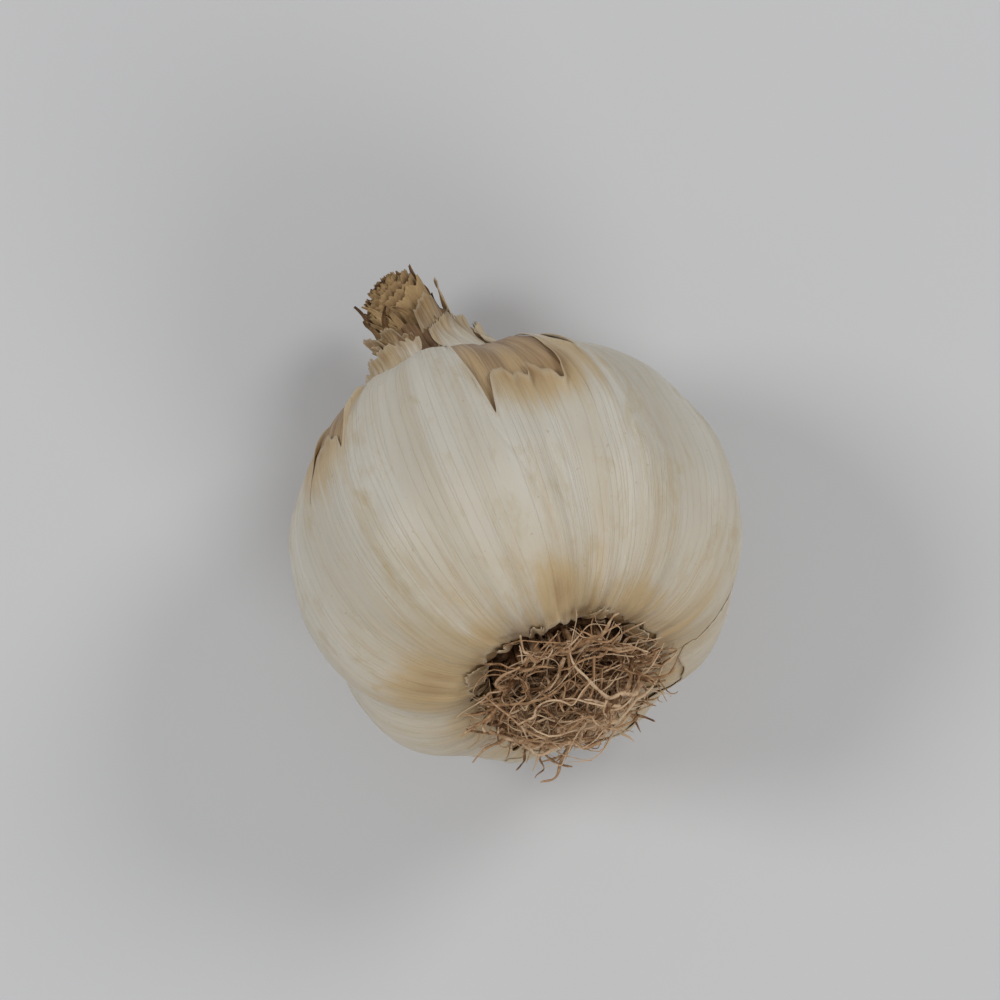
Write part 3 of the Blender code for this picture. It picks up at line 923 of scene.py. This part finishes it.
def make_neck():
    draw = random.Random(SEED + 30)
    sheets = []
    for k in range(SHEATHS):
        inner = (0.55 + 0.46 * k) * MM
        outer = inner + 0.36 * MM
        shorter = max(0, k - SHEATHS + 3) * 1.1 * MM
        top = NECK_TOP + draw.uniform(-0.6, 0.7) * MM - shorter
        start, turns = draw.uniform(0, math.tau), draw.uniform(0.85, 1.15)
        sheets.append(sheath_roll(inner, outer, start, turns, top, 110 + k))
    for k in range(SPLINTERS):
        sheets.append(splinter(draw, 130 + k))
    points, faces, values = merged(sheets)
    mesh_piece("neck_sheaths", lay(points), faces, sheath_material(), "dry_sheath", ("neck",), **values)


# The roots

def root_path(draw, angle, start_radius):
    """The part's own rule for one root, as points down its middle."""
    steps = 5
    length = draw.uniform(7.5, 12.5) * MM
    lean = math.radians(6 + 26 * start_radius / PLATE_RADIUS)
    droop = math.radians(draw.uniform(8, 22))
    heading = angle + draw.uniform(-0.6, 0.6)
    turn = draw.uniform(-0.55, 0.55)
    return walk(angle, start_radius, steps, length, lean, droop, heading, turn)


def walk(angle, start_radius, steps, length, lean, droop, heading, turn):
    """Steps out of the plate that lean over more and more, and bend over its rim clear of the skin."""
    point = polar(start_radius, angle, PLATE_FACE + 2 * MM)
    path = [point]
    for _ in range(steps):
        point = point + polar(math.sin(lean), heading, -math.cos(lean)) * (length / steps)
        if math.hypot(point[0], point[1]) > PLATE_RADIUS - 0.8 * MM:
            point[2] = min(point[2], -0.95 * MM)
        path.append(point)
        heading += turn
        lean = min(lean + droop, math.radians(98))
    return np.array(path)


def fine_path(draw, angle, start_radius):
    """A thinner root that curls more."""
    steps = 7
    length = draw.uniform(5.0, 12.0) * MM
    lean = math.radians(draw.uniform(0, 20) + 26 * start_radius / PLATE_RADIUS)
    droop = math.radians(draw.uniform(2, 20))
    heading = angle + draw.uniform(-1.1, 1.1)
    turn = draw.uniform(-0.8, 0.8)
    return walk(angle, start_radius, steps, length, lean, droop, heading, turn)


def crossing_path(draw):
    """A root that has bent over and lies across the others, mostly from side to side."""
    steps = 6
    length = draw.uniform(5.0, 17.0) * MM
    heading = draw.uniform(-1.0, 1.0) + draw.choice((0, math.pi))
    turn = draw.uniform(-0.35, 0.35)
    depth = draw.uniform(1.0, 8.5) * MM
    tilt = draw.uniform(-0.35, 0.35)
    reach = draw.uniform(1.15, 1.6) * PLATE_RADIUS
    middle = polar(PLATE_RADIUS * 0.85 * math.sqrt(draw.uniform(0, 1)), draw.uniform(0, math.tau), 0.0)
    point = middle - polar(length / 2, heading, 0.0)
    heading -= turn * steps / 2
    path = []
    for k in range(steps + 1):
        dome = max(0.0, 1 - (math.hypot(point[0], point[1]) / reach) ** 2)
        slope = tilt * length * (k / steps - 0.5) * dome
        path.append((point[0], point[1], -depth * dome - 1.1 * MM + slope))
        point = point + polar(length / steps, heading, 0.0)
        heading += turn
    return np.array(path)


def tube(path, radii, sides, tone, seed):
    """Points and faces of a wrinkled, pointed root along a path with its own radius at each point."""
    ahead = np.gradient(path, axis=0)
    ahead /= np.linalg.norm(ahead, axis=1)[:, None]
    across = np.cross(ahead, [0.31, 0.17, 0.93])
    across /= np.linalg.norm(across, axis=1)[:, None]
    other = np.cross(ahead, across)
    turn = around(sides)
    ring = across[:, None] * np.cos(turn)[None, :, None] + other[:, None] * np.sin(turn)[None, :, None]
    wrinkles = np.random.default_rng(seed).uniform(0.68, 1.18, sides)
    rings = path[:, None] + ring * radii[:, None, None] * wrinkles[None, :, None]
    points, faces = rounded_body(rings, path[0], path[-1] + ahead[-1] * radii[-1] * 2)
    # Each root darker at its foot by the plate and paler towards its tip, in part painted shade under the
    # skin's rim
    paler = tone + np.linspace(-0.15, 0.2, len(path))
    return points, faces, {"tone": np.concatenate([np.repeat(paler, sides), paler[[0, -1]]])}


def curly_root(draw, path, thickness, sides, per_step, wiggle, seed, tones):
    """A root that follows a path smoothly, with small bends and knots of its own."""
    tone = draw.uniform(*tones)
    place = np.linspace(0, len(path) - 1, (len(path) - 1) * per_step + 1)
    line = np.stack([spline(path[:, k], place) for k in range(3)], axis=-1)
    along = place / place[-1]
    loose = ramp(0.1, 0.5, along)[:, None]
    drift = np.stack([field(line, 2.6 * MM, seed + k, 5) for k in range(3)], axis=-1)
    line = line + drift * wiggle * loose
    knots = 1 + 0.18 * np.sin(along * draw.uniform(18, 40) + draw.uniform(0, 6))
    knots = knots + 0.14 * np.sin(along * 71 + seed) * np.sin(along * 23 + seed)
    radii = thickness / 2 * (1 - 0.74 * along) * knots
    return tube(line, radii, sides, tone, seed)


def keep_clear(points):
    """Pushes roots that would cut into the cloves off their skin."""
    over = np.hypot(points[:, 0], points[:, 1]) > PLATE_RADIUS
    clear = points.copy()
    clear[over, 2] = np.minimum(clear[over, 2], -0.35 * MM)
    return clear


def make_roots():
    """The part's own roots, thinned, with finer ones among them and others lying across."""
    draw = random.Random(SEED + 5)
    looks = random.Random(SEED + 40)
    tubes = []
    # Tones: each root's own brown, with the roots from the plate, deep in the tuft, darker and the stout
    # ones lying across on top paler, in part painted shade
    for count, share in ROOT_RINGS:
        for k in range(count):
            angle = math.tau * (k + draw.uniform(-0.35, 0.35)) / count
            path = root_path(draw, angle, PLATE_RADIUS * share * draw.uniform(0.95, 1.05))
            thickness = draw.uniform(0.85, 1.2) * MM * 0.72
            seed = 200 + len(tubes)
            tubes.append(curly_root(looks, path, thickness, 7, 6, 0.35 * MM, seed, (0.05, 0.75)))
    for k in range(FINE_ROOTS):
        angle = looks.uniform(0, math.tau)
        path = fine_path(looks, angle, PLATE_RADIUS * 0.9 * math.sqrt(looks.uniform(0.01, 1)))
        thickness = looks.uniform(0.24, 0.55) * MM
        tubes.append(curly_root(looks, path, thickness, 5, 4, 0.5 * MM, 300 + k, (0.1, 0.95)))
    for k in range(STOUT_CROSSING_ROOTS):
        path = crossing_path(looks)
        thickness = looks.uniform(0.6, 0.85) * MM
        tubes.append(curly_root(looks, path, thickness, 6, 5, 0.5 * MM, 900 + k, (0.7, 1.0)))
    for k in range(THIN_CROSSING_ROOTS):
        path = crossing_path(looks)
        thickness = looks.uniform(0.2, 0.55) * MM
        tubes.append(curly_root(looks, path, thickness, 4, 4, 0.8 * MM, 600 + k, (0.1, 1.0)))
    points, faces, values = merged(tubes)
    points = lay(keep_clear(points))
    mesh_piece("root_tuft", points, faces, root_material(), "dried_root", ("roots",), **values)


def make_plate():
    """The corky plate that the roots grow from, which stands out of the bulb's recess."""
    columns, rows = 96, 30
    back_height = RECESS_FLOOR - 0.3 * MM
    share = np.linspace(1, 0.03, rows)[:, None]
    angle = around(columns)[None, :]
    height = PLATE_FACE + 0.9 * MM * (1 - share**1.5)
    face = polar(PLATE_RADIUS * share * (1 + 0.02 * np.cos(11 * angle)), angle, height)
    face[..., 2] += 0.28 * MM * field(face, 1.4 * MM, 71) - 0.2 * MM
    back = polar(PLATE_RADIUS * np.array([[0.5], [1.0]]), angle, back_height)
    rings = np.concatenate([back, face])
    points, faces = rounded_body(rings, [0, 0, back_height], [0, 0, PLATE_FACE + 0.8 * MM])
    mesh_piece("root_plate", lay(points), faces, plate_material(), "dried_root", ("roots",))


# Stage, light and camera

def make_stage():
    mesh = bpy.data.meshes.new("floor")
    size = 3.0
    corners = [(-size, -size, 0), (size, -size, 0), (size, size, 0), (-size, size, 0)]
    mesh.from_pydata(corners, [], [(0, 1, 2, 3)])
    n = Nodes("pale_table")
    spot = n.object_place()
    soft = n.noise(spot, 12, 2, 0.5)
    grain = n.noise(spot, 900, 2, 0.5)
    colour = n.mix(n.span(soft, 0.3, 0.7), (0.612, 0.618, 0.630), (0.628, 0.632, 0.643))
    n.surface(colour, 0.75, n.bump(grain, 0.05, 0.1 * MM), {"Specular IOR Level": 0.2})
    mesh.materials.append(n.material)
    floor = bpy.data.objects.new("floor", mesh)
    bpy.context.scene.collection.objects.link(floor)


def area_light(name, place, size, power):
    light = bpy.data.lights.new(name, "AREA")
    light.shape = "DISK"
    light.size = size
    light.energy = power
    light.color = LAMP_COLOUR
    lamp = bpy.data.objects.new(name, light)
    lamp.location = place
    lamp.rotation_euler = (-Vector(place)).to_track_quat("-Z", "Y").to_euler()
    bpy.context.scene.collection.objects.link(lamp)


def make_light():
    world = bpy.data.worlds.new("soft_room")
    world.use_nodes = True
    background = world.node_tree.nodes["Background"]
    background.inputs["Color"].default_value = (1.0, 1.0, 1.0, 1)
    background.inputs["Strength"].default_value = ROOM_LIGHT
    bpy.context.scene.world = world
    for name, (place, size, power) in LAMPS.items():
        area_light(name, place, size, power)


def make_camera():
    low, high = CAD_BOX
    middle = (Vector(low) + Vector(high)) / 2
    a, e = CAMERA_AZIMUTH, CAMERA_ELEVATION
    back = Vector((math.sin(a) * math.cos(e), -math.cos(a) * math.cos(e), math.sin(e)))
    data = bpy.data.cameras.new("camera")
    data.lens = data.sensor_width * CAMERA_DISTANCE / FRAME_WIDTH
    data.clip_start = 0.01
    camera = bpy.data.objects.new("camera", data)
    camera.location = middle + back * CAMERA_DISTANCE
    camera.rotation_euler = back.to_track_quat("Z", "Y").to_euler()
    bpy.context.scene.collection.objects.link(camera)
    bpy.context.scene.camera = camera


bpy.context.scene.view_settings.view_transform = "Standard"
make_camera()
make_light()
make_stage()
outer_material = skin_material("outer_skin", CREAM, SAND, brown_from=11.2, brown_to=14.0,
                               base_from=2.7, base_to=0.6, blotches=0.6)
make_inner_skin()
make_outer_skin(outer_material)
make_last_layer(outer_material)
make_flaps(outer_material)
make_rim_scraps(outer_material)
make_strips(outer_material)
make_neck()
make_plate()
make_roots()
